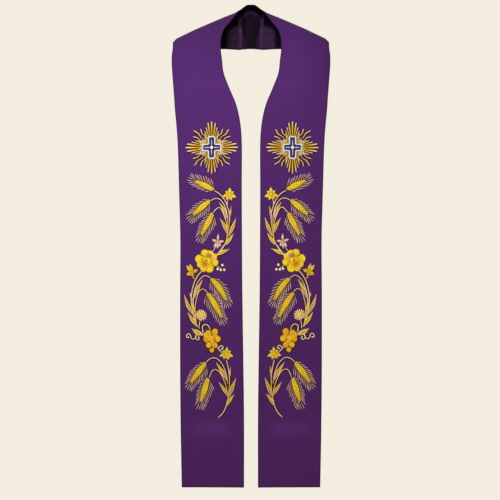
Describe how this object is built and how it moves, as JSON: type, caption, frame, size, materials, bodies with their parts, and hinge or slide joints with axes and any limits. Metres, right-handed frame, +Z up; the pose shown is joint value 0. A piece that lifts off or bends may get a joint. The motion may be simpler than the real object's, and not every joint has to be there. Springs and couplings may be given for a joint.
{
  "type": "clerical stole",
  "caption": "Purple clerical stole in worn form, long bands joined behind the neck and hanging in front, dark satin lining, gold embroidery of wheat, flowers and a rayed cross.",
  "frame": {"origin": "middle of the neckline edge at the nape, where the stole rests on the neck", "axes": "+Z up along the hanging bands; +Y towards the back, so the bands hang in front at -Y; +X towards the wearer's left"},
  "size_m": [0.4108, 0.1845, 1.2548],
  "materials": {
    "face_cloth": "purple faille with a soft sheen, satin-stitch embroidery in golds on both front bands",
    "lining": "dark aubergine satin"
  },
  "bodies": {
    "root": {"band_right": "face_cloth", "band_left": "face_cloth", "neck_piece": "face_cloth", "lining_right": "lining", "lining_left": "lining", "lining_neck": "lining"}
  },
  "joints": []
}
